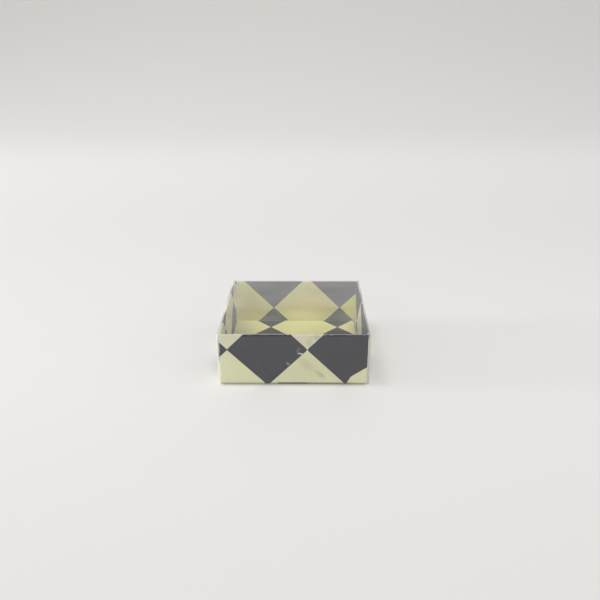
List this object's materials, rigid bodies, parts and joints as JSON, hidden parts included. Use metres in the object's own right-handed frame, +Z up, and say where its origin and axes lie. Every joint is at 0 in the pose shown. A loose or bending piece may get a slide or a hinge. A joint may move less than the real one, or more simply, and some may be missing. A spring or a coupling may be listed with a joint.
{
  "type": "windowed gift box",
  "caption": "Shallow square gift box: a tray folded from a sheet with a dark and pale harlequin print, under a full-depth clear film lid that lifts off.",
  "frame": {"origin": "middle of the tray's underside, on the surface it stands on", "axes": "+Z up out of the open side, +X to the right seen from the front, the front wall at -Y"},
  "size_m": [0.0872, 0.0872, 0.032],
  "materials": {
    "paper": "smooth uncoated paper, pale yellow green",
    "ink": "flat dark grey print on paper",
    "film": "clear glossy plastic film"
  },
  "bodies": {
    "tray": {"tray": "paper", "harlequin_print": "ink"},
    "lid": {"clear_lid": "film"}
  },
  "joints": [
    {"name": "lid_lift", "type": "slide", "parent": "tray", "child": "lid", "axis": [0, 0, 1], "range_m": [0, 0.036]}
  ]
}
